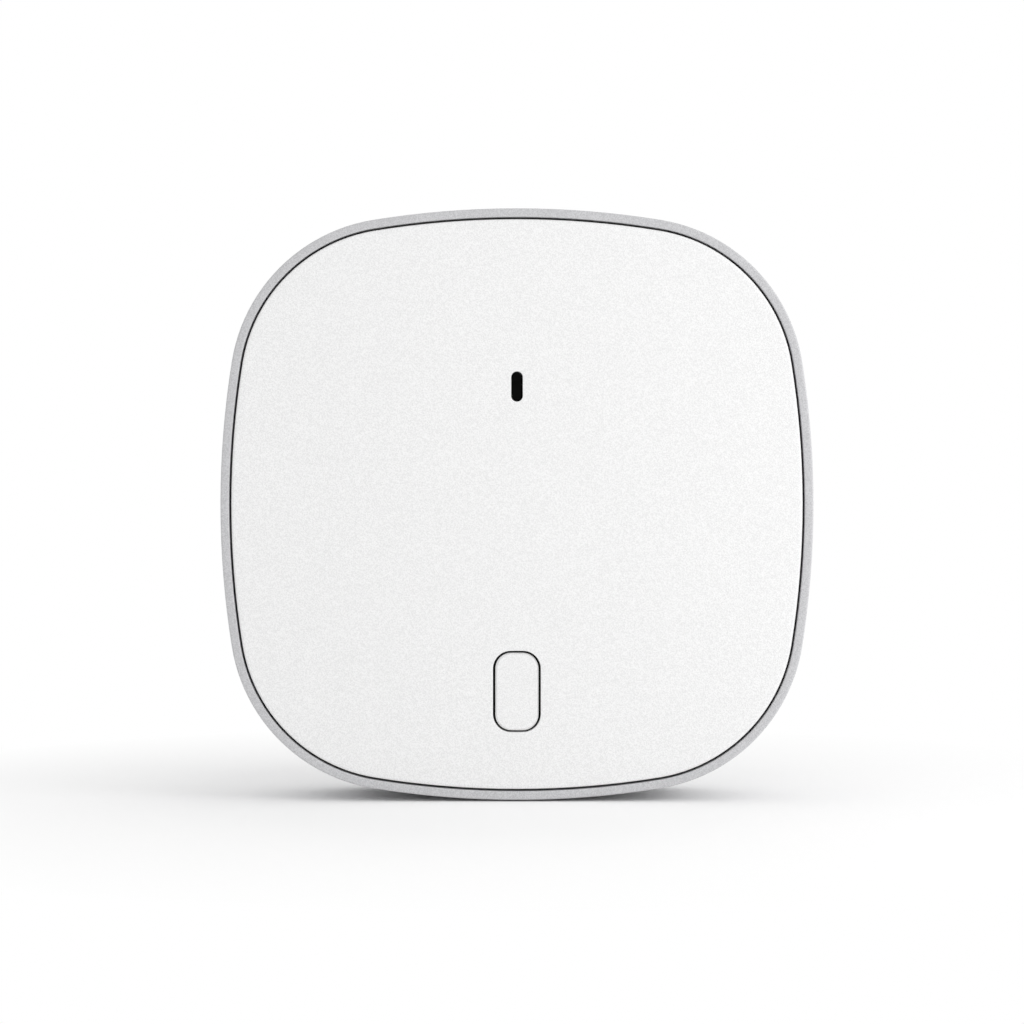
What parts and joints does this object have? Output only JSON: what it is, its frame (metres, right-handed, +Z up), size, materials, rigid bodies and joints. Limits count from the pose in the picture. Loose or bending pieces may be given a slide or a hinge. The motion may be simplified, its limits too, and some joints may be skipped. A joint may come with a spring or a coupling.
{
  "type": "garage door controller",
  "caption": "Bowed square wall hub for a garage door: grey housing, inset white cover, status light slot and push button, with its board, radio, sounder and power inlet inside.",
  "frame": {"origin": "centre of the casing's outline on the plane of its lower edge, where it stands", "axes": "+Z up the face, front face towards -Y, wall face towards +Y, +X to the right in the picture"},
  "size_m": [0.08, 0.024, 0.0798],
  "materials": {
    "housing_plastic": "fine moulded texture, light grey",
    "cover_plastic": "fine moulded texture, white",
    "frame_plastic": "moulded, black",
    "lens_plastic": "smoked, polished",
    "board_laminate": "solder mask, green",
    "radio_laminate": "solder mask, dark blue",
    "part_plastic": "moulded, black",
    "plunger_plastic": "moulded, dark grey",
    "sheet_metal": "tinned sheet",
    "screw_steel": "zinc plated",
    "copper_wire": "enamelled copper wire",
    "brass": "plain",
    "ferrite": "pressed powder",
    "can_aluminium": "drawn",
    "chip_ceramic": "fired ceramic",
    "foam": "closed cell foam",
    "led_plastic": "moulded, white"
  },
  "bodies": {
    "casing": {"rear_housing": "housing_plastic", "front_cover": "cover_plastic", "inner_frame": "frame_plastic", "status_lens": "lens_plastic", "main_board": "board_laminate", "switch_body": "part_plastic", "switch_leads": "sheet_metal", "switch_dome": "sheet_metal", "status_led": "led_plastic", "radio_board": "radio_laminate", "radio_shield": "sheet_metal", "transmitter_shield": "sheet_metal", "transmitter_aerial": "copper_wire", "processor": "part_plastic", "memory_chip": "part_plastic", "crystal": "sheet_metal", "jack_body": "part_plastic", "jack_pin": "brass", "jack_tabs": "sheet_metal", "voltage_regulator": "part_plastic", "power_inductor": "ferrite", "capacitor_bases": "part_plastic", "capacitor_cans": "can_aluminium", "chip_parts": "chip_ceramic", "sounder_case": "part_plastic", "sounder_base": "part_plastic", "piezo_disc": "brass", "sounder_gasket": "foam", "board_screws": "screw_steel", "housing_screws": "screw_steel"},
    "button": {"button_cap": "cover_plastic", "switch_plunger": "plunger_plastic"}
  },
  "joints": [
    {"name": "button_press", "type": "slide", "parent": "casing", "child": "button", "axis": [0, 1, 0], "range_m": [0, 0.0005], "stiffness_N_per_m": 1600, "springref_m": -0.0005, "deforming": ["switch_dome"]}
  ]
}
